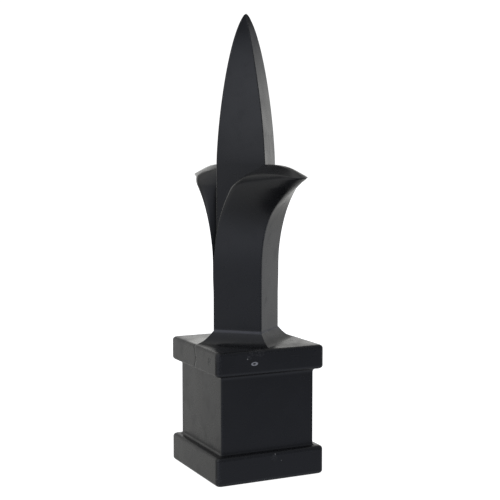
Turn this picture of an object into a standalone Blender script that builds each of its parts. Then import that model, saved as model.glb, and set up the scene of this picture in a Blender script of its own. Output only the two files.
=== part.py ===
"""A trident fence finial, moulded in one piece of black plastic.

A square socket with two collars stands over the head of a fence picket.  From its top a
four-sided shaft rises, turned an eighth of a turn, so that its corners point at the middle
of the socket's sides.  Two of those corners curl outwards into horns, along Y, and a
four-sided spear stands between them.

Metres, +Z up.  The origin is the middle of the underside.
"""
import bpy
import bmesh
import numpy as np

# Socket: it slips over a 3/4 inch picket
PICKET = 0.01905
PICKET_CLEARANCE = 0.00035
SOCKET_WALL = 0.00235
SOCKET_DEPTH = 0.0280

# Collars, which stand out from the socket's wall
COLLAR_OVERHANG = 0.00195
COLLAR_EDGE = 0.0009
LOWER_COLLAR_HEIGHT = 0.0068
WALL_HEIGHT = 0.0187
UPPER_COLLAR_HEIGHT = 0.00575

# Shaft, a square turned 45 degrees: half its diagonal towards X and towards Y
SHAFT_HALF_X = 0.0088
SHAFT_HALF_Y = 0.0083
FLARE_HEIGHT = 0.00285
FLARE_MARGIN = 0.0009
FLARE_SLOPE = 0.25
FLARE_POWER = 2.0
SHAFT_HEIGHT = 0.0134

# Horns: how far each reaches from the middle, and how far it rises from its root
HORN_REACH = 0.0290
HORN_RISE = 0.0237
LIP_DROP = 0.0005
HORN_CREST = 0.0029
TIP_HALF_WIDTH = 0.0016

# Spear: half its diagonals where it leaves the horns, and its height above their crest
SPEAR_HALF_X = 0.0079
SPEAR_HALF_Y = 0.0102
SPEAR_HEIGHT = 0.0357

# The joined shapes run this far into each other
OVERLAP = 0.0012

WALL_WIDTH = PICKET + PICKET_CLEARANCE + 2 * SOCKET_WALL
COLLAR_WIDTH = WALL_WIDTH + 2 * COLLAR_OVERHANG
UPPER_COLLAR_Z = LOWER_COLLAR_HEIGHT + WALL_HEIGHT
BASE_TOP = UPPER_COLLAR_Z + UPPER_COLLAR_HEIGHT
SHAFT_Z = BASE_TOP + FLARE_HEIGHT
HORN_ROOT_Z = SHAFT_Z + SHAFT_HEIGHT
HORN_TIP_Z = HORN_ROOT_Z + HORN_RISE
CREST_Z = HORN_TIP_Z + HORN_CREST
SPEAR_TIP_Z = CREST_Z + SPEAR_HEIGHT

# The horn's curves, as shares of its reach and rise
ELBOW_Y = 0.462
ELBOW_WIDTH = 0.91
ROOF_FULLNESS = (1.15, 1.85, 1.15)
CLIMB_STEPS = 13
EDGE_STEPS = 3
FLARE_STEPS = 8
SPEAR_STEPS = 14
OUTER_STEPS = 8
INNER_STEPS = 6
WELD = 0.00001


def black_plastic():
    """Satin black moulded plastic."""
    material = bpy.data.materials.new("black plastic")
    material.use_nodes = True
    shader = material.node_tree.nodes["Principled BSDF"]
    shader.inputs["Base Color"].default_value = (0.022, 0.023, 0.025, 1.0)
    shader.inputs["Roughness"].default_value = 0.38
    shader.inputs["Metallic"].default_value = 0.0
    material.diffuse_color = (0.022, 0.023, 0.025, 1.0)
    return material


def block(name, width, bottom, top, edge):
    """A square block of one width, with its edges rounded where edge is above zero."""
    bpy.ops.mesh.primitive_cube_add(size=1.0)
    obj = bpy.context.object
    obj.name = name
    for vertex in obj.data.vertices:
        vertex.co.x *= width
        vertex.co.y *= width
        vertex.co.z = bottom + (vertex.co.z + 0.5) * (top - bottom)
    if edge > 0.0:
        bevel = obj.modifiers.new("rounded edges", "BEVEL")
        bevel.width = edge
        bevel.segments = 3
    return obj


def bezier(points, t):
    """The cubic curve of four control points, at the values t."""
    a, b, c, d = np.asarray(points, float)
    t = np.asarray(t, float)[:, None]
    return (1 - t) ** 3 * a + 3 * (1 - t) ** 2 * t * b + 3 * (1 - t) * t ** 2 * c + t ** 3 * d


def spear_half_x(z):
    """Half the spear's diagonal towards X: the shaft's at the root, then leaf-shaped to the point."""
    rise = np.clip((z - HORN_ROOT_Z) / (0.45 * HORN_RISE), 0, 1)
    blend = rise * rise * (3 - 2 * rise)
    share = np.clip((z - CREST_Z) / SPEAR_HEIGHT, 0, 1)
    leaf = (1 - share ** 1.4) ** 0.66
    return (SHAFT_HALF_X + (SPEAR_HALF_X - SHAFT_HALF_X) * blend) * leaf


def spear_half_y(z):
    """Half the spear's diagonal towards Y, which runs nearly straight to the point."""
    share = np.clip((z - CREST_Z) / SPEAR_HEIGHT, 0, 1)
    return SPEAR_HALF_Y * (1 - share ** 1.55)


def ease(x, start, end):
    """0 before start, 1 after end, and a smooth S between them."""
    share = np.clip((np.asarray(x, float) - start) / (end - start), 0, 1)
    return share * share * (3 - 2 * share)


def between(starts, ends, steps):
    """Straight rows of points from each start to its end."""
    share = np.linspace(0, 1, steps + 1)[None, :, None]
    return starts[:, None, :] * (1 - share) + ends[:, None, :] * share


def outer_rows(side, ridge, blunt):
    """Rows of the outer face, from the corner towards X to the corner towards Y: straight,
    except that a blunt row ends in a rounded tip as wide as blunt says."""
    share = (1 - (1 - np.linspace(0, 1, OUTER_STEPS + 1)) ** 1.4)[None, :]
    tip = np.sqrt(1 - share ** 8) - (1 - share)
    x = side[:, :1] * (1 - share) + np.reshape(blunt, (-1, 1)) * tip
    y = side[:, 1:2] * (1 - share) + ridge[:, 1:2] * share
    z = side[:, 2:] * (1 - share) + ridge[:, 2:] * share
    return np.stack([x, y, z], axis=-1)


def round_rows(side, inner, fullness):
    """Rows from the horn's side edge or lip over to its inner edge: straight at fullness 1,
    a quarter of an ellipse at 2, and squarer above that."""
    corner = np.column_stack([side[:, 0], 0.5 * (side[:, 1] + inner[:, 1]), inner[:, 2]])
    centre = (side + inner - corner)[:, None, :]
    angle = np.linspace(0, np.pi / 2, INNER_STEPS + 1)[None, :, None]
    power = 2 / np.reshape(fullness, (-1, 1, 1))
    from_side = np.clip(np.cos(angle), 0, 1) ** power
    from_inner = np.clip(np.sin(angle), 0, 1) ** power
    return centre + (side[:, None, :] - centre) * from_side + (inner[:, None, :] - centre) * from_inner


def horn_side_edge(t):
    """The horn's side edge: up and out from the shaft's side corner to an elbow."""
    shares = [(0, 0), (0, 0.48), (0.203, 0.772), (ELBOW_Y, 1 - LIP_DROP / HORN_RISE)]
    curve = bezier([(y * HORN_REACH, HORN_ROOT_Z + z * HORN_RISE) for y, z in shares], t)
    half = SHAFT_HALF_X * (1 - (1 - ELBOW_WIDTH) * t ** 2)
    return np.column_stack([half, -curve[:, 0], curve[:, 1]])


def horn_outer_ridge(side):
    """The corner of the shaft that curls out to the horn's tip, in the plane x = 0, as high
    as the side edge's points.  Level with the elbow it reaches the tip."""
    spread = HORN_REACH - SHAFT_HALF_Y
    shares = [(0, 0), (0, 0.57), (0.275, 0.735), (1, 1)]
    curve = bezier([(SHAFT_HALF_Y + y * spread, HORN_ROOT_Z + z * HORN_RISE) for y, z in shares],
                   np.linspace(0, 1, 300))
    z = HORN_ROOT_Z + (side[:, 2] - HORN_ROOT_Z) / (1 - LIP_DROP / HORN_RISE)
    y = np.interp(z, curve[:, 1], curve[:, 0])
    return np.column_stack([0 * y, -y, z])


def horn_valley(t):
    """Where the horn meets the spear: from the side corner up across the spear's face to its
    front corner."""
    z = HORN_ROOT_Z + (CREST_Z - HORN_ROOT_Z) * (1 - (1 - t) ** 1.5)
    across = np.clip((z - HORN_ROOT_Z) / (CREST_Z - HORN_ROOT_Z), 0, 1) ** 2.2
    return np.column_stack([spear_half_x(z) * (1 - across), -spear_half_y(z) * across, z])


def horn_crest(lip):
    """The ridge of the horn's roof, from the spear's front corner out to the tip, with one
    point for each point of the lip."""
    out = (lip[:, 1] - lip[0, 1]) / (lip[-1, 1] - lip[0, 1])
    y = SPEAR_HALF_Y + out * (HORN_REACH - SPEAR_HALF_Y)
    return np.column_stack([0 * y, -y, CREST_Z - out ** 3.1 * HORN_CREST])


def square_row(inset, z):
    """A quarter of the collar's outline, drawn in by an inset, from the middle of the side
    towards X round the rounded corner to the middle of the side towards Y."""
    half = COLLAR_WIDTH / 2 - inset
    radius = max(COLLAR_EDGE - inset, 0.2 * COLLAR_EDGE)
    angle = np.linspace(0, np.pi / 2, OUTER_STEPS - 3)
    straight = half - radius
    x = np.concatenate([[half, half], straight + radius * np.cos(angle), [0.5 * straight, 0]])
    y = np.concatenate([[0, 0.5 * straight], straight + radius * np.sin(angle), [half, half]])
    return np.column_stack([x, -y, 0 * x + z])


def top_rise(row):
    """How far the top stands above the collar's edge at a row of points: it is flat in the
    corners, and climbs in four hollow faces to the shaft."""
    level = np.abs(row[:, 0]) + np.abs(row[:, 1]) * SHAFT_HALF_X / SHAFT_HALF_Y
    reach = COLLAR_WIDTH / 2 - FLARE_MARGIN
    climb = np.clip((reach - level) / (reach - SHAFT_HALF_X), 0, 1)
    return FLARE_HEIGHT * (FLARE_SLOPE * climb + (1 - FLARE_SLOPE) * climb ** FLARE_POWER)


def collar_rows():
    """Rows of the outer face below the shaft: out from the middle of the upper collar's
    underside, up its side, over its top edge and up the hollow flare to the shaft's foot."""
    turn = np.linspace(0, np.pi / 2, EDGE_STEPS + 1)
    inset, depth = COLLAR_EDGE * (1 - np.cos(turn)), COLLAR_EDGE * (1 - np.sin(turn))
    rows = [0 * square_row(0, 0) + np.array([0.0, 0.0, UPPER_COLLAR_Z])]
    rows += [square_row(i, UPPER_COLLAR_Z + d) for i, d in zip(inset[::-1], depth[::-1])]
    rows += [square_row(i, BASE_TOP - d) for i, d in zip(inset, depth)]
    for row in rows[EDGE_STEPS + 2:]:
        row[:, 2] += top_rise(row)
    for corner in np.linspace(COLLAR_WIDTH / 2 - FLARE_MARGIN, SHAFT_HALF_X, FLARE_STEPS + 1):
        side = np.array([[corner, 0.0, 0.0]])
        ridge = np.array([[0.0, -corner * SHAFT_HALF_Y / SHAFT_HALF_X, 0.0]])
        row = outer_rows(side, ridge, 0.0)[0]
        row[:, 2] = BASE_TOP + top_rise(row)
        rows.append(row)
    return np.array(rows)


def tower_quarter():
    """A quarter of the upper collar, shaft, horn and spear, open at the planes x = 0 and
    y = 0: the outer face up to the horn's lip, the face that the horn turns to the spear,
    the horn's roof, and the spear's own face."""
    t = 1 - (1 - np.linspace(0, 1, CLIMB_STEPS + 1)) ** 1.3
    side, valley = horn_side_edge(t), horn_valley(t)
    horn_face = outer_rows(side, horn_outer_ridge(side), TIP_HALF_WIDTH * ease(t, 0.5, 1))
    outer_face = np.concatenate([collar_rows(), horn_face])
    elbow, middle, tip = ROOF_FULLNESS
    inner_face = round_rows(side, valley, 1 + (elbow - 1) * ease(t, 0.7, 1))
    lip = outer_face[-1]
    crest = horn_crest(lip)
    out = (lip[:, 1] - lip[0, 1]) / (lip[-1, 1] - lip[0, 1])
    roof = round_rows(lip, crest, elbow + (middle - elbow) * ease(out, 0, 0.2) + (tip - middle) * ease(out, 0.45, 1))
    spear_z = CREST_Z + SPEAR_HEIGHT * np.linspace(0, 1, SPEAR_STEPS + 1)[1:]
    ridge = np.column_stack([0 * spear_z, -spear_half_y(spear_z), spear_z])
    edge_z = np.concatenate([valley[:, 2], spear_z])
    edge = np.column_stack([spear_half_x(edge_z), 0 * edge_z, edge_z])
    spear_face = between(np.vstack([valley, ridge]), edge, INNER_STEPS)
    return [outer_face[:, ::-1], inner_face, roof, spear_face]


def tower():
    """The upper collar, the shaft, the horns and the spear as one closed mesh, mirrored from
    a quarter."""
    mesh = bpy.data.meshes.new("tower")
    shape = bmesh.new()
    for grid in tower_quarter():
        rows, columns = grid.shape[:2]
        points = [[shape.verts.new(grid[i, j]) for j in range(columns)] for i in range(rows)]
        for i in range(rows - 1):
            for j in range(columns - 1):
                shape.faces.new((points[i][j], points[i][j + 1], points[i + 1][j + 1], points[i + 1][j]))
    bmesh.ops.remove_doubles(shape, verts=shape.verts, dist=WELD)
    bmesh.ops.dissolve_degenerate(shape, edges=shape.edges, dist=WELD)
    shape.to_mesh(mesh)
    shape.free()
    obj = bpy.data.objects.new("tower", mesh)
    bpy.context.scene.collection.objects.link(obj)
    mirror = obj.modifiers.new("mirror", "MIRROR")
    mirror.use_axis = (True, True, False)
    mirror.merge_threshold = WELD
    return obj


def join(target, tool, operation):
    """Join the tool to the target, or cut it out of it, and put it with the cutters."""
    cut = target.modifiers.new(tool.name, "BOOLEAN")
    cut.operation = operation
    cut.object = tool
    tool.hide_render = True
    tool.display_type = "WIRE"
    for collection in list(tool.users_collection):
        collection.objects.unlink(tool)
    tools.objects.link(tool)


for old in list(bpy.data.objects):
    bpy.data.objects.remove(old, do_unlink=True)
parts = bpy.data.collections.new("trident fence finial")
tools = bpy.data.collections.new("joined and cut shapes")
bpy.context.scene.collection.children.link(parts)
bpy.context.scene.collection.children.link(tools)

finial = block("finial", COLLAR_WIDTH, 0.0, LOWER_COLLAR_HEIGHT, COLLAR_EDGE)
wall = block("wall", WALL_WIDTH, OVERLAP, BASE_TOP - OVERLAP, 0.0)
socket = block("socket", PICKET + PICKET_CLEARANCE, -OVERLAP, SOCKET_DEPTH, 0.0)
join(finial, wall, "UNION")
join(finial, tower(), "UNION")
join(finial, socket, "DIFFERENCE")
finial.data.materials.append(black_plastic())
for collection in list(finial.users_collection):
    collection.objects.unlink(finial)
parts.objects.link(finial)
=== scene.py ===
"""The look of a trident fence finial, moulded in one piece of satin black plastic.

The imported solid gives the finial's box.  The moulding's whole skin is worked out here again
as smooth surfaces, with its rounded edges, parting line, gate mark and flow lines, and it
replaces the solid.  Lengths inside the shape functions are in millimetres.
"""
import math

import bmesh
import bpy
import numpy as np
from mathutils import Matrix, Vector


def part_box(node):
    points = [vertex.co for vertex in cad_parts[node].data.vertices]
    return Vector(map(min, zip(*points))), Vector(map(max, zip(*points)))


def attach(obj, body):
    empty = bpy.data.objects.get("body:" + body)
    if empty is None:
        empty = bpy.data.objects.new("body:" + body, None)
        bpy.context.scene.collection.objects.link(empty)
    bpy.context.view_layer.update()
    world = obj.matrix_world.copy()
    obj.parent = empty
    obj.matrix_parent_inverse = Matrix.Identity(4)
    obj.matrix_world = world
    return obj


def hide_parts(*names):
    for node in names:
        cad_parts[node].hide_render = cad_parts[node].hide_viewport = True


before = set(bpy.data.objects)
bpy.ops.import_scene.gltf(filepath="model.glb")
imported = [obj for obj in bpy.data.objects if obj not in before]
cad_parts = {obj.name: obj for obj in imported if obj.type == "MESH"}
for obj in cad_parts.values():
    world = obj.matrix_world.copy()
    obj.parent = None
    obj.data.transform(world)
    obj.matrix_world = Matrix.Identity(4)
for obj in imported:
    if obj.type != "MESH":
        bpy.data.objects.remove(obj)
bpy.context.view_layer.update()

# The moulding: one piece of black plastic.  Its skin is made as a quarter, between the planes
# x = 0 and y = 0, from sections that run from the socket's roof down the inside, round the
# rim, up the collars and the shaft, and out to the tips of the horn and the spear.
MM = 0.001
low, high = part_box("finial")
HALF_BASE = high[0] / MM
REACH = high[1] / MM
TOP = high[2] / MM
HALF_SOCKET = 9.7
SOCKET_DEPTH = 28.0
LOWER_COLLAR_TOP = 6.8
HALF_WALL = 12.05
UPPER_COLLAR_BOTTOM = 25.5
UPPER_COLLAR_TOP = 31.25
CORNER = 1.1
COLLAR_EDGE = 0.8
WALL_CORNER = 0.35
LOWER_COVE = 0.5
UPPER_COVE = 0.9
FLARE_REACH = 13.1
SHAFT_HALF_X = 8.8
SHAFT_HALF_Y = 8.3
SHAFT_FOOT = 34.1
HORN_ROOT = 47.5
HORN_RISE = 23.7
HORN_CREST = 2.9
LIP_LIFT = 0.45
ELBOW_Y = 0.48 * REACH
ELBOW_Z = HORN_ROOT + HORN_RISE + LIP_LIFT
TIP_HALF_WIDTH = 1.6
ROOF_FULLNESS = (1.15, 1.6, 1.15)
CREST = HORN_ROOT + HORN_RISE + HORN_CREST
SPEAR_HALF_X = 7.9
SPEAR_HALF_Y = 10.2
EDGE_CUT = 0.45
SPEAR_RIDGE_CUT = 0.22

# The skin's fineness, and how long its lips and creases are softened.
ROUND_STEPS = 5
FLAT_STEPS = 10
ARC_STEPS = 8
COLUMNS = 2 * FLAT_STEPS + ARC_STEPS + 1
FLARE_ROWS = 22
SHAFT_ROWS = 11
HORN_ROWS = 81
SPEAR_ROWS = 60
LIP_BAND = (68.8, 71.8)
LIP_ROUNDS = 230
CREASE_ROUNDS = 250
WELD = 0.000002


def rise(x, start, end):
    """0 before start, 1 after end, and a smooth S between them."""
    share = np.clip((np.asarray(x, float) - start) / (end - start), 0, 1)
    return share * share * (3 - 2 * share)


def bezier(points, t):
    """The cubic curve of four control points, at the values t."""
    a, b, c, d = np.asarray(points, float)
    t = np.asarray(t, float)[:, None]
    return (1 - t) ** 3 * a + 3 * (1 - t) ** 2 * t * b + 3 * (1 - t) * t ** 2 * c + t ** 3 * d


def unit(vectors):
    """Each vector at length one, or zero where it has no length."""
    length = np.linalg.norm(vectors, axis=-1, keepdims=True)
    return vectors / np.maximum(length, 1e-9)


def strip(path, columns, start_cut=0.0, start_side=None, end_cut=0.0, end_side=None):
    """A path resampled by its length to a number of columns.  Where it starts or ends at an
    edge, it runs only to the middle of the edge's rounding: within the cut, a point is
    drawn towards the direction in which the surface goes on beyond the edge."""
    length = np.concatenate([[0], np.cumsum(np.linalg.norm(np.diff(path, axis=0), axis=1))])
    total = length[-1]
    first, last = min(start_cut, 0.45 * total), min(end_cut, 0.45 * total)
    half = np.linspace(0.5, 0, ROUND_STEPS + 1)
    before = first * (1 - half[:-1]) ** 2 if first > 0 else np.zeros(0)
    after = total - last * (1 - half[::-1][1:]) ** 2 if last > 0 else np.zeros(0)
    inner = np.linspace(0, 1, columns - len(before) - len(after))
    inner = inner - 0.1 * np.sin(2 * np.pi * inner)
    at = np.concatenate([before, first + (total - first - last) * inner, after])
    points = np.column_stack([np.interp(at, length, path[:, i]) for i in range(3)])
    if first > 0:
        pull = np.clip(1 - np.sqrt(at / first), 0, 1) ** 2 * first
        points = points + pull[:, None] * start_side
    if last > 0:
        pull = np.clip(1 - np.sqrt((total - at) / last), 0, 1) ** 2 * last
        points = points + pull[:, None] * end_side
    return points


def square_section(half, corner, z):
    """A quarter of a rounded square's outline: from (half, 0) along the side, round the
    corner's arc, and along the next side to (0, -half), all at the height z."""
    share = np.linspace(0, 1, FLAT_STEPS + 1)
    share = share - 0.13 * np.sin(2 * np.pi * share)
    angle = np.linspace(0, np.pi / 2, ARC_STEPS + 1)[1:-1]
    straight = half - corner
    x = np.concatenate([0 * share + half, straight + corner * np.cos(angle),
                        straight * share[::-1]])
    y = np.concatenate([straight * share, straight + corner * np.sin(angle), 0 * share + half])
    return np.column_stack([x, -y, 0 * x + z])


def arc(half, z, radius, start, end, steps):
    """A round run of the base's profile: half widths and heights round a centre."""
    angle = np.radians(np.linspace(start, end, steps + 1))
    return np.column_stack([half + radius * np.cos(angle), z + radius * np.sin(angle)])


def face_rows(half, start, end):
    """The rows of a flat face between two rounded edges, closer together at its ends."""
    share = np.linspace(0, 1, 11)[1:-1]
    heights = start + (end - start) * (share - 0.13 * np.sin(2 * np.pi * share))
    return np.column_stack([np.full(9, half), heights])


def base_profile():
    """Half widths and heights from the socket's roof, down inside, round the rim and up the
    outside to the upper collar's top edge."""
    lip, inner = 0.3, 0.5
    edge = HALF_BASE - COLLAR_EDGE
    lower_end = LOWER_COLLAR_TOP - COLLAR_EDGE
    wall_start, wall_end = LOWER_COLLAR_TOP + LOWER_COVE, UPPER_COLLAR_BOTTOM - UPPER_COVE
    upper_start, upper_end = UPPER_COLLAR_BOTTOM + COLLAR_EDGE, UPPER_COLLAR_TOP - COLLAR_EDGE
    return np.vstack([
        np.array([(0.02, SOCKET_DEPTH), (5.0, SOCKET_DEPTH)]),
        arc(HALF_SOCKET - inner, SOCKET_DEPTH - inner, inner, 90, 0, 4),
        np.column_stack([np.full(6, HALF_SOCKET), np.linspace(SOCKET_DEPTH - 2, 1, 6)]),
        arc(HALF_SOCKET + lip, lip, lip, 180, 270, 3),
        arc(edge, COLLAR_EDGE, COLLAR_EDGE, -90, 0, 6),
        face_rows(HALF_BASE, COLLAR_EDGE, lower_end),
        arc(edge, lower_end, COLLAR_EDGE, 0, 90, 6),
        arc(HALF_WALL + LOWER_COVE, wall_start, LOWER_COVE, 270, 180, 5),
        face_rows(HALF_WALL, wall_start, wall_end),
        arc(HALF_WALL + UPPER_COVE, wall_end, UPPER_COVE, 180, 90, 6),
        arc(edge, upper_start, COLLAR_EDGE, -90, 0, 6),
        face_rows(HALF_BASE, upper_start, upper_end),
        arc(edge, upper_end, COLLAR_EDGE, 0, 90, 6)])


def base_sections():
    """The rounded squares of the socket, the wall and the two collars.  A corner's radius is
    the collar's less the edge's rounding, and the wall's corners are nearly sharp."""
    rows = []
    for half, z in base_profile():
        out = max(half - HALF_WALL, 0) / (HALF_BASE - HALF_WALL)
        corner = WALL_CORNER + (CORNER - WALL_CORNER) * out
        rows.append(square_section(half, min(corner, 0.9 * half), z))
    return rows


def top_height(x, y):
    """The upper collar's top: flat in its corners, then a hollow flare that climbs in four
    faces, with ridges above the axes, to the foot of the shaft."""
    level = np.abs(x) + np.abs(y) * SHAFT_HALF_X / SHAFT_HALF_Y
    climb = np.clip((FLARE_REACH - level) / (FLARE_REACH - SHAFT_HALF_X), 0, 1)
    return UPPER_COLLAR_TOP + (SHAFT_FOOT - UPPER_COLLAR_TOP) * (0.25 * climb + 0.75 * climb ** 2)


def mirror_x(v):
    """The direction on the other side of the plane x = 0."""
    return v * np.array([-1, 1, 1])


def mirror_y(v):
    """The direction on the other side of the plane y = 0."""
    return v * np.array([1, -1, 1])


def diamond_section(half_x, half_y, z, cut_x, cut_y):
    """A quarter of a four-sided section, its corners on the axes and rounded."""
    side, ridge = np.array([half_x, 0, z]), np.array([0, -half_y, z])
    along = unit(ridge - side)
    return strip(np.array([side, ridge]), COLUMNS, cut_x, mirror_y(along), cut_y, mirror_x(-along))


def flare_sections():
    """The sections between the upper collar's square top edge and the foot of the shaft."""
    rows = []
    for corner in np.linspace(FLARE_REACH, SHAFT_HALF_X, FLARE_ROWS + 1)[:-1]:
        row = diamond_section(corner, corner * SHAFT_HALF_Y / SHAFT_HALF_X, 0, EDGE_CUT, EDGE_CUT)
        row[:, 2] = top_height(row[:, 0], row[:, 1])
        rows.append(row)
    return rows


def spear_half_x(z):
    """Half the spear's diagonal towards X: the shaft's at the root, then leaf-shaped."""
    drawn_in = rise(z, HORN_ROOT, HORN_ROOT + 0.45 * HORN_RISE)
    neck = SHAFT_HALF_X + (SPEAR_HALF_X - SHAFT_HALF_X) * drawn_in
    share = np.clip((z - CREST) / (TOP - CREST), 0, 1)
    return neck * (1 - share ** 1.5) ** 0.6


def spear_half_y(z):
    """Half the spear's diagonal towards Y, which runs nearly straight to the point."""
    share = np.clip((z - CREST) / (TOP - CREST), 0, 1)
    return SPEAR_HALF_Y * (1 - share ** 1.55)


def side_edge(t):
    """The horn's side edge: up and out from the shaft's side corner to an elbow."""
    points = [(0, HORN_ROOT), (0, HORN_ROOT + 0.48 * HORN_RISE),
              (0.203 * REACH, HORN_ROOT + 0.772 * HORN_RISE), (ELBOW_Y, ELBOW_Z)]
    curve = bezier(points, t)
    return np.column_stack([SHAFT_HALF_X * (1 - 0.05 * t ** 2), -curve[:, 0], curve[:, 1]])


def outer_ridge(side):
    """The shaft's corner that curls out to the horn's tip, in the plane x = 0, as high as the
    side edge's points.  Level with the elbow it reaches the tip."""
    shares = [(0, 0), (0, 0.57), (0.275, 0.735), (1, 1)]
    spread = REACH - SHAFT_HALF_Y
    curve = bezier([(SHAFT_HALF_Y + y * spread, HORN_ROOT + z * HORN_RISE) for y, z in shares],
                   np.linspace(0, 1, 400))
    z = HORN_ROOT + (side[:, 2] - HORN_ROOT) / (1 + LIP_LIFT / HORN_RISE)
    y = np.interp(z, curve[:, 1], curve[:, 0])
    return np.column_stack([0 * y, -y, z])


def valley(t):
    """Where the horn meets the spear: from the side corner up across the spear's face to its
    front corner."""
    z = HORN_ROOT + (CREST - HORN_ROOT) * (1 - (1 - t) ** 1.5)
    across = ((z - HORN_ROOT) / (CREST - HORN_ROOT)) ** 2.2
    return np.column_stack([spear_half_x(z) * (1 - across), -spear_half_y(z) * across, z])


def crest(out):
    """The ridge of the horn's roof, from the spear's front corner out to the tip."""
    y = SPEAR_HALF_Y + out * (REACH - SPEAR_HALF_Y)
    return np.column_stack([0 * y, -y, CREST - out ** 3.1 * HORN_CREST])


def outer_path(side, ridge, blunt):
    """A section of the horn's outer face: straight from the side edge to the ridge, but with
    a rounded end as wide as blunt says."""
    share = 1 - (1 - np.linspace(0, 1, 121)) ** 2
    x = side[0] * (1 - share) + blunt * (np.sqrt(1 - share ** 8) - (1 - share))
    across = side + (ridge - side) * share[:, None]
    return np.column_stack([x, across[:, 1:]])


def round_path(side, inner, fullness):
    """The curve from the horn's side edge or lip over to its inner edge: straight at
    fullness 1 and a quarter of an ellipse at fullness 2."""
    corner = np.array([side[0], 0.5 * (side[1] + inner[1]), inner[2]])
    centre = side + inner - corner
    angle = np.linspace(0, np.pi / 2, 61)[:, None]
    power = 2 / fullness
    from_side, from_inner = np.cos(angle) ** power, np.sin(angle) ** power
    return centre + (side - centre) * from_side + (inner - centre) * from_inner


def quarter_grids():
    """The four grids of the skin's quarter: the outside from the socket's roof to the horn's
    lip, the horn's inner face, its roof, and the spear's face."""
    t = np.linspace(0, 1, HORN_ROWS)
    side, foot = side_edge(t), valley(t)
    ridge = outer_ridge(side)
    elbow, middle, tip = ROOF_FULLNESS
    outer = base_sections() + flare_sections()
    for z in np.linspace(SHAFT_FOOT, HORN_ROOT, SHAFT_ROWS + 1)[:-1]:
        cut_x = EDGE_CUT * (1 - rise(z, HORN_ROOT - 5, HORN_ROOT))
        outer.append(diamond_section(SHAFT_HALF_X, SHAFT_HALF_Y, z, cut_x, EDGE_CUT))
    turned = []
    for i in range(len(t)):
        brim = 0.7 * rise(t[i], 0.05, 0.6) * (1 - rise(t[i], 0.75, 1))
        inner = round_path(side[i], foot[i], 1 + brim + (elbow - 1) * rise(t[i], 0.7, 1))
        path = outer_path(side[i], ridge[i], TIP_HALF_WIDTH * rise(t[i], 0.5, 1))
        cut = min(EDGE_CUT * (1 + 1.2 * rise(t[i], 0.2, 0.8)),
                  0.3 * np.linalg.norm(foot[i] - side[i]))
        tip_cut = EDGE_CUT * (1 - rise(t[i], 0.7, 1))
        along = unit(path[8] - path[0])
        outer.append(strip(path, COLUMNS, cut, unit(inner[3] - inner[0]), tip_cut,
                           mirror_x(unit(path[-9] - path[-1]))))
        turned.append(strip(inner, COLUMNS, cut, along))
        turned[-1][0] = outer[-1][0]
    lip = outer[-1]
    roof = []
    for i in range(COLUMNS):
        out = (lip[i, 1] - lip[0, 1]) / (lip[-1, 1] - lip[0, 1])
        fullness = (elbow + (middle - elbow) * rise(out, 0, 0.2)
                    + (tip - middle) * rise(out, 0.45, 1))
        top = crest(np.array([out]))[0]
        path = round_path(lip[i], top, fullness)
        crest_cut = min(EDGE_CUT, 0.3 * np.linalg.norm(top - lip[i]))
        roof.append(strip(path, COLUMNS, 0, None, crest_cut, mirror_x(unit(path[-4] - path[-1]))))
    roof[0] = turned[-1]
    heights = CREST + (TOP - CREST) * (1 - (1 - np.linspace(0, 1, SPEAR_ROWS + 1)[1:]) ** 1.15)
    faces = []
    for z, start in zip(np.concatenate([foot[:, 2], heights]), list(foot) + [None] * len(heights)):
        corner = np.array([spear_half_x(z), 0, z])
        ridge_point = np.array([0, -spear_half_y(z), z]) if start is None else start
        along = unit(corner - ridge_point)
        cut_x = min(EDGE_CUT * rise(z, HORN_ROOT, HORN_ROOT + 8), 0.3 * corner[0])
        cut_y = min(SPEAR_RIDGE_CUT, 0.3 * spear_half_y(z)) * (start is None)
        faces.append(strip(np.array([ridge_point, corner]), COLUMNS, cut_y, mirror_x(along),
                           cut_x, mirror_y(-along)))
    return [np.array(outer)] + [np.array(grid)[:, ::-1] for grid in (turned, roof, faces)]


def grid_faces(rows, columns, first):
    """The quads of a grid whose first vertex has the given index."""
    index = first + np.arange(rows * columns).reshape(rows, columns)
    corners = [index[:-1, :-1], index[:-1, 1:], index[1:, 1:], index[1:, :-1]]
    return np.stack(corners, axis=-1).reshape(-1, 4)


def points_and_ends(mesh):
    """A mesh's points in millimetres, and the two points that each of its edges joins."""
    points, ends = np.empty(3 * len(mesh.vertices)), np.empty(2 * len(mesh.edges), int)
    mesh.vertices.foreach_get("co", points)
    mesh.edges.foreach_get("vertices", ends)
    return points.reshape(-1, 3) / MM, ends.reshape(-1, 2)


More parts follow.
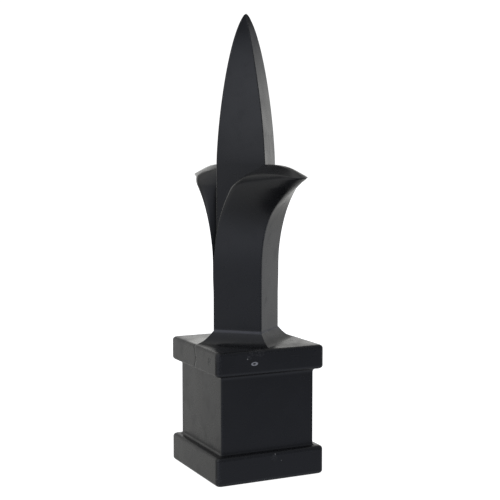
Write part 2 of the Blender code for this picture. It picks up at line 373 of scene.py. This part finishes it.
def soften(mesh):
    """Rounds the horns' lips off, and more so the crease between the inner face and the roof:
    their points are drawn towards the mean of their neighbours, a number of times."""
    points, ends = points_and_ends(mesh)
    x, y, z = np.abs(points[:, 0]), np.abs(points[:, 1]), points[:, 2]
    clear = x / np.maximum(spear_half_x(z), 0.1) + y / np.maximum(spear_half_y(z), 0.1) - 1
    lips = rise(z, *LIP_BAND) * rise(x, 0.4, 3) * (1 - rise(y, 18, 27.5))
    elbow = np.array([SHAFT_HALF_X - 0.8, ELBOW_Y, ELBOW_Z])
    line = np.array([0, SPEAR_HALF_Y, CREST]) - elbow
    flat = np.column_stack([x, y, z]) - elbow
    along = np.clip(flat @ line / (line @ line), 0.1, 1)
    away = np.linalg.norm(flat - along[:, None] * line, axis=1)
    creases = (1 - rise(away, 0.8, 3.5)) * rise(x, 0.2, 1.5) * (1 - rise(x, 2.5, 6))
    for mask, rounds in ((lips, LIP_ROUNDS), (creases, CREASE_ROUNDS)):
        amount = 0.6 * mask * rise(clear, 0.02, 0.25)
        moved = ends[(amount[ends] > 0).any(axis=1)]
        both, other = np.concatenate([moved, moved[:, ::-1]]).T
        count = np.maximum(np.bincount(both, minlength=len(points)), 1)
        for _ in range(rounds):
            mean = [np.bincount(both, points[other, i], len(points)) for i in range(3)]
            points += amount[:, None] * (np.column_stack(mean) / count[:, None] - points)
    mesh.vertices.foreach_set("co", (points * MM).ravel())
    mesh.update()


def note_edges(mesh):
    """Stores how sharply the skin bulges at each point, 0 to 1, for the rubbed edges."""
    points, ends = points_and_ends(mesh)
    normals = np.empty(3 * len(mesh.vertices))
    mesh.vertices.foreach_get("normal", normals)
    normals = normals.reshape(-1, 3)
    start, end = ends.T
    way = points[end] - points[start]
    turned = ((normals[end] - normals[start]) * way).sum(axis=1)
    bend = turned / np.maximum((way ** 2).sum(axis=1), 1e-6)
    bulge = np.zeros(len(points))
    np.maximum.at(bulge, start, bend)
    np.maximum.at(bulge, end, bend)
    edge = mesh.attributes.new("edge", "FLOAT", "POINT")
    edge.data.foreach_set("value", rise(bulge, 0.15, 1.2).astype(np.float32))


def make_mesh(name, points, faces):
    """A smooth mesh of points in metres and quads, with the grids' shared edges merged."""
    mesh = bpy.data.meshes.new(name)
    mesh.from_pydata(points.tolist(), [], faces.tolist())
    shape = bmesh.new()
    shape.from_mesh(mesh)
    bmesh.ops.remove_doubles(shape, verts=shape.verts, dist=WELD)
    bmesh.ops.dissolve_degenerate(shape, edges=shape.edges, dist=WELD)
    bmesh.ops.recalc_face_normals(shape, faces=shape.faces)
    shape.to_mesh(mesh)
    shape.free()
    soften(mesh)
    note_edges(mesh)
    mesh.shade_smooth()
    obj = bpy.data.objects.new(name, mesh)
    bpy.context.scene.collection.objects.link(obj)
    return obj


points, faces, count = [], [], 0
for grid in quarter_grids():
    for sign_x in (1, -1):
        for sign_y in (1, -1):
            points.append((grid * np.array([sign_x, sign_y, 1])).reshape(-1, 3))
            quads = grid_faces(*grid.shape[:2], count)
            faces.append(quads if sign_x * sign_y > 0 else quads[:, ::-1])
            count += len(points[-1])
moulding = make_mesh("moulding", np.vstack(points) * MM, np.vstack(faces))

# The gate mark: a small oval witness on the front of the upper collar where the plastic was
# let into the mould, a raised rim round a shallow dish, moulded with the rest.
GATE_PLACE = (-4.55, 28.2)
GATE_HALF = (1.0, 0.55)
GATE_RIM = 0.16


def gate_height(share):
    """How far the witness stands out of the face at a share of its radius: a low dish at the
    middle, a rim at six tenths, and just inside the face at the outer edge."""
    rim = GATE_RIM * np.exp(-((share - 0.6) / 0.25) ** 2)
    return 0.02 + rim - 0.06 * rise(share, 0.85, 1)


share, turn = np.meshgrid(np.linspace(0.001, 1, 25), np.linspace(0, 2 * np.pi, 65))
wobble = 1 + 0.04 * np.sin(2 * turn + 1) + 0.02 * np.sin(5 * turn)
points = np.stack([GATE_PLACE[0] + GATE_HALF[0] * share * wobble * np.cos(turn),
                   -HALF_BASE - gate_height(share) * (1 + 0.25 * np.sin(turn + 2)),
                   GATE_PLACE[1] + GATE_HALF[1] * share * wobble * np.sin(turn)], axis=-1)
gate_mark = make_mesh("gate_mark", points.reshape(-1, 3) * MM, grid_faces(65, 25, 0))

# The plastic: black, satin and a little uneven, as it comes out of a polished steel mould,
# with a fine grain, a rough parting line, flow lines, scuffs from handling and a few specks,
# and with a painted highlight round the shaft's foot and a painted glint by the wall's near corner.
plastic = bpy.data.materials.new("satin black plastic")


def open_tree(owner):
    """The node tree of a material or a world, and the functions that add its nodes and its
    links.  The functions below work on the tree that was opened last."""
    owner.use_nodes = True
    return owner.node_tree, owner.node_tree.nodes.new, owner.node_tree.links.new


def put(value, socket):
    """Gives a socket a plain value, or links another node's output to it."""
    if hasattr(value, "links"):
        link(value, socket)
    else:
        socket.default_value = value


def calc(operation, a, b=0.0):
    """One step of arithmetic on two values."""
    step = node("ShaderNodeMath")
    step.operation = operation
    put(a, step.inputs[0])
    put(b, step.inputs[1])
    return step.outputs["Value"]


def span(value, start, end, low=0.0, high=1.0):
    """A smooth passage from low to high as the value goes from start to end."""
    passage = node("ShaderNodeMapRange")
    passage.interpolation_type = "SMOOTHSTEP"
    put(value, passage.inputs["Value"])
    for name, number in (("From Min", start), ("From Max", end), ("To Min", low), ("To Max", high)):
        passage.inputs[name].default_value = number
    return passage.outputs["Result"]


def geometry(operation, vector, other):
    """A step of arithmetic on a vector and a second vector or a factor."""
    step = node("ShaderNodeVectorMath")
    step.operation = operation
    link(vector, step.inputs[0])
    put(other, step.inputs["Scale"] if operation == "SCALE" else step.inputs[1])
    return step.outputs["Value" if operation in ("DISTANCE", "DOT_PRODUCT") else "Vector"]


def noise(per_mm, detail, place):
    """Noise with so many lumps to a millimetre of the place."""
    lumps = node("ShaderNodeTexNoise")
    lumps.inputs["Scale"].default_value = per_mm
    lumps.inputs["Detail"].default_value = detail
    link(place, lumps.inputs["Vector"])
    return lumps.outputs["Fac"]


def mix(factor, first, second):
    """A colour between two.  A mixing node takes its two colours in sockets 6 and 7."""
    mixing = node("ShaderNodeMix")
    mixing.data_type = "RGBA"
    for value, socket in ((factor, "Factor"), (first, 6), (second, 7)):
        put(value, mixing.inputs[socket])
    return mixing.outputs[2]


tree, node, link = open_tree(plastic)
shader = tree.nodes["Principled BSDF"]
in_mm = geometry("SCALE", node("ShaderNodeTexCoord").outputs["Object"], 1 / MM)
part = node("ShaderNodeSeparateXYZ")
link(in_mm, part.inputs["Vector"])


def near(spot, radius, soft=0.4):
    """1 within a radius of a spot, fading to 0 over the outer share of it."""
    return span(geometry("DISTANCE", in_mm, spot), radius * (1 - soft), radius, 1, 0)


def scratches(turn, threshold):
    """Fine straight scratches in one direction, in broken lengths."""
    slant = node("ShaderNodeMapping")
    slant.inputs["Rotation"].default_value = turn
    slant.inputs["Scale"].default_value = (0.12, 5.0, 5.0)
    link(in_mm, slant.inputs["Vector"])
    return span(noise(1.0, 1.0, slant.outputs["Vector"]), threshold, threshold + 0.05)


haze = noise(0.16, 3, in_mm)
grain = noise(5.0, 2, in_mm)
sway = noise(0.11, 1, in_mm)
rough = noise(3.1, 4, in_mm)
patches = span(noise(0.35, 4, in_mm), 0.5, 0.7)
scratched = calc("MAXIMUM", scratches((0.3, 0.2, 1.1), 0.75), scratches((1.2, 0.9, 0.2), 0.76))
worn = node("ShaderNodeAttribute")
worn.attribute_name = "edge"
rubbed = calc("MULTIPLY", worn.outputs["Fac"], span(rough, 0.4, 0.8))

# Scuffs: patches of dragged and dented surface, most of them on the collars.
scuffs = near((-3.2, -13.6, 30.9), 1.6)
for spot, radius in (((-5.2, -13.8, 30.6), 0.8), ((-14, -9.7, 28.7), 1.1),
                     ((-14, -13.7, 30.0), 1.2), ((-5.9, -14, 29.6), 0.7),
                     ((-13.8, -13.8, 1.5), 1.1), ((0.6, -14, 5.3), 1.0),
                     ((-13.2, 12.4, 28.0), 1.2), ((4.4, -11.8, 64.9), 0.6),
                     ((9.0, 13.6, 30.8), 2.0), ((13.6, -4.0, 6.0), 1.4)):
    scuffs = calc("MAXIMUM", scuffs, near(spot, radius))
scuffed = calc("MULTIPLY", scuffs, span(rough, 0.45, 0.6))

# Specks: pale grit stuck to the surface, one here and there, and one painted glint where the wall's
# near corner meets the lower collar.
# The first spot is a painted glint at the foot of the wall's near corner. The others are pale grit.
grit_and_glint = near((-12.2, -12.2, 7.25), 0.32)
for spot, radius in (((0.9, -14.0, 6.3), 0.18), ((2.5, -14.1, 4.6), 0.16),
                     ((-6.3, -14.0, 29.4), 0.17), ((-3.9, -6.4, 61.2), 0.2),
                     ((6.6, 4.9, 20.0), 0.2), ((14.0, 3.0, 29.0), 0.2),
                     ((-2.6, 14.0, 12.0), 0.2), ((3.8, 6.0, 88.0), 0.18)):
    grit_and_glint = calc("MAXIMUM", grit_and_glint, near(spot, radius))

# Flow lines: one curved line where two fronts of plastic met on the left of the upper collar,
# and faint rings that spread from the gate.
FLOW_CENTRE = (2.1, 28.4)
FLOW_RADIUS = 3.6
side_y = calc("SUBTRACT", part.outputs["Y"], FLOW_CENTRE[0])
side_z = calc("SUBTRACT", part.outputs["Z"], FLOW_CENTRE[1])
ring = calc("SQRT", calc("ADD", calc("MULTIPLY", side_y, side_y), calc("MULTIPLY", side_z, side_z)))
on_side = calc("MULTIPLY", span(part.outputs["X"], -13.3, -13.6), span(part.outputs["Y"], 0.6, 0.2))
on_collar = calc("MULTIPLY", on_side, span(part.outputs["Z"], 25.4, 25.9))
off_ring = calc("ABSOLUTE", calc("SUBTRACT", ring, FLOW_RADIUS))
weld = calc("MULTIPLY", on_collar, span(off_ring, 0.05, 0.35, 1, 0))
gate = (GATE_PLACE[0], -HALF_BASE, GATE_PLACE[1])
spread = geometry("DISTANCE", in_mm, gate)
phase = calc("MULTIPLY", calc("ADD", spread, calc("MULTIPLY", sway, 6.0)), 3.0)
ripple = calc("MULTIPLY", calc("SINE", phase), span(spread, 2, 11, 1, 0))

# The parting line along the ridges over y, a pale band painted round the shaft's foot as the
# highlight along its crease, on a slight raised bead, and the torn plastic of the gate.
seam = calc("MULTIPLY", span(calc("ABSOLUTE", part.outputs["X"]), 0.05, 0.16, 1, 0),
            calc("MULTIPLY", span(part.outputs["Z"], 33, 35), span(rough, 0.3, 0.6)))
off_foot = calc("ABSOLUTE", calc("SUBTRACT", part.outputs["Z"], SHAFT_FOOT + 0.1))
# Painted highlight: a pale band round the shaft's foot that stands in for the light caught along
# the crease.
painted_foot_highlight = calc("MULTIPLY", span(off_foot, 0.1, 0.4, 1, 0), span(haze, 0.3, 0.55, 0.5, 1))
standing_out = span(part.outputs["Y"], -HALF_BASE - 0.05, -HALF_BASE - 0.11)
torn = calc("MULTIPLY", near(gate, 1.5, 0.1), standing_out)

# The relief, in millimetres for each mask.
height = calc("MULTIPLY", sway, 0.03)
for mask, size in ((grain, 0.0008), (ripple, 0.0005), (scratched, -0.002), (scuffed, -0.05),
                   (seam, 0.06), (weld, -0.1), (painted_foot_highlight, 0.03), (grit_and_glint, 0.08),
                   (calc("MULTIPLY", worn.outputs["Fac"], rough), -0.004)):
    height = calc("ADD", height, calc("MULTIPLY", mask, size))
relief = node("ShaderNodeBump")
relief.inputs["Distance"].default_value = MM
link(height, relief.inputs["Height"])
link(relief.outputs["Normal"], shader.inputs["Normal"])

# The colour, with a painted highlight round the shaft's foot and a painted glint by the wall's near
# corner, and how rough the plastic is.
colour = mix(haze, (0.0112, 0.0116, 0.0124, 1), (0.0146, 0.0148, 0.0152, 1))
for mask, paint in ((rubbed, (0.024, 0.024, 0.025, 1)), (scuffed, (0.035, 0.035, 0.036, 1)),
                    (painted_foot_highlight, (0.11, 0.11, 0.12, 1)), (weld, (0.004, 0.004, 0.004, 1)),
                    (torn, (0.40, 0.40, 0.40, 1)), (grit_and_glint, (0.42, 0.41, 0.38, 1))):
    colour = mix(mask, colour, paint)
link(colour, shader.inputs["Base Color"])
roughness = span(haze, 0.3, 0.7, 0.23, 0.30)
for mask, size in ((patches, 0.06), (rubbed, 0.12), (scuffed, 0.25), (scratched, 0.1),
                   (painted_foot_highlight, 0.2), (grit_and_glint, 0.4)):
    roughness = calc("ADD", roughness, calc("MULTIPLY", mask, size))
link(roughness, shader.inputs["Roughness"])
shader.inputs["IOR"].default_value = 1.45
for piece in (moulding, gate_mark):
    piece.data.materials.append(plastic)
    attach(piece, "root")
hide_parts("finial")

# The camera, fitted to the edges of the base and the shaft in the 500 by 500 photograph.
FOCAL = 1090.1 / 500 * 36
AZIMUTH = 0.4489
PITCH = 0.0849
DISTANCE = 18.80 * 14 * MM
HEIGHT = 5.41 * 14 * MM
ASIDE = 0.0675 * 14 * MM
camera_data = bpy.data.cameras.new("camera")
camera_data.lens = FOCAL
camera_data.sensor_width = 36
camera_data.clip_start = 0.01
camera = bpy.data.objects.new("camera", camera_data)
bpy.context.scene.collection.objects.link(camera)
aside = np.array([math.cos(AZIMUTH), -math.sin(AZIMUTH)])
ahead = np.array([math.sin(AZIMUTH), math.cos(AZIMUTH)])
camera.location = (*(aside * ASIDE - ahead * DISTANCE), HEIGHT)
camera.rotation_euler = (math.pi / 2 - PITCH, 0, -AZIMUTH)
bpy.context.scene.camera = camera

# The floor: a white disc that doesn't light or mirror in the part, and is clear from below.
FLOOR_RADIUS = 3
FLOOR_SIDES = 96
floor_mesh = bpy.data.meshes.new("floor")
angles = np.linspace(0, 2 * np.pi, FLOOR_SIDES + 1)[:-1]
rim = [(math.cos(a) * FLOOR_RADIUS, math.sin(a) * FLOOR_RADIUS, 0) for a in angles]
floor_mesh.from_pydata(rim, [], [list(range(FLOOR_SIDES))])
floor = bpy.data.objects.new("floor", floor_mesh)
bpy.context.scene.collection.objects.link(floor)
floor_material = bpy.data.materials.new("pale floor")
tree, node, link = open_tree(floor_material)
shader = tree.nodes["Principled BSDF"]
shader.inputs["Base Color"].default_value = (0.6, 0.6, 0.6, 1)
shader.inputs["Roughness"].default_value = 0.9
shader.inputs["Emission Color"].default_value = (1, 1, 1, 1)
link(node("ShaderNodeLightPath").outputs["Is Camera Ray"], shader.inputs["Emission Strength"])
one_sided = node("ShaderNodeMixShader")
link(node("ShaderNodeNewGeometry").outputs["Backfacing"], one_sided.inputs["Fac"])
link(shader.outputs["BSDF"], one_sided.inputs[1])
link(node("ShaderNodeBsdfTransparent").outputs["BSDF"], one_sided.inputs[2])
link(one_sided.outputs["Shader"], tree.nodes["Material Output"].inputs["Surface"])
floor.data.materials.append(floor_material)
floor.visible_glossy = False
floor.visible_diffuse = False

# The light: a dim studio with soft bright patches round the part, cooler in front, and white
# where the camera looks at it.
world = bpy.data.worlds.new("studio")
tree, node, link = open_tree(world)
where = node("ShaderNodeTexCoord").outputs["Generated"]


def glow(direction, start, strength, full=1.0, flat=1.0):
    """A soft patch of light in the studio: its strength towards a direction, fading to none
    where the two directions' product falls from full to start.  A flat patch is as many
    times less high than wide."""
    even = node("ShaderNodeVectorMath")
    even.operation = "NORMALIZE"
    link(geometry("MULTIPLY", where, (1, 1, flat)), even.inputs[0])
    towards = geometry("DOT_PRODUCT", even.outputs["Vector"], Vector(direction).normalized())
    return span(towards, start, full, 0, strength)


light = 0.24
for patch in (glow((0.0, 1.0, 0.08), 0.62, 0.58, full=0.9, flat=2.2),
              glow((0.6, 0.75, 0.1), 0.84, 0.42, flat=1.5),
              glow((0.98, 0.2, 0.04), 0.84, 0.45),
              glow((-0.87, -0.16, 0.44), 0.86, 0.9),
              glow((-0.85, -0.4, -0.35), 0.78, 0.25),
              glow((-0.35, 0.1, 0.93), 0.55, 0.36),
              glow((0.0, 0.0, -1.0), 0.12, 0.3, full=0.45),
              glow((0.0, 0.0, -1.0), 0.6, -0.2, full=0.95)):
    light = calc("ADD", light, patch)
seen = node("ShaderNodeLightPath").outputs["Is Camera Ray"]
bright = node("ShaderNodeMix")
for value, socket in ((seen, "Factor"), (light, "A"), (1.1, "B")):
    put(value, bright.inputs[socket])
link(bright.outputs["Result"], tree.nodes["Background"].inputs["Strength"])
depth = node("ShaderNodeSeparateXYZ")
link(where, depth.inputs["Vector"])
cool = node("ShaderNodeMapRange")
cool.inputs["From Min"].default_value = 0.6
cool.inputs["From Max"].default_value = -0.6
link(depth.outputs["Y"], cool.inputs["Value"])
tint = mix(cool.outputs["Result"], (1.0, 1.0, 0.98, 1), (0.95, 1.0, 1.17, 1))
link(mix(seen, tint, (1, 1, 1, 1)), tree.nodes["Background"].inputs["Color"])
bpy.context.scene.world = world
bpy.context.scene.view_settings.view_transform = "Standard"

# A faint square lamp over the part, for the highlights along its edges.
LAMP_PLACE = Vector((0, 0.2, 0.5))
lamp_data = bpy.data.lights.new("overhead", "AREA")
lamp_data.shape = "SQUARE"
lamp_data.size = 0.35
lamp_data.energy = 0.05
lamp = bpy.data.objects.new("overhead", lamp_data)
lamp.location = LAMP_PLACE
lamp.rotation_euler = (-LAMP_PLACE).to_track_quat("-Z", "Y").to_euler()
bpy.context.scene.collection.objects.link(lamp)
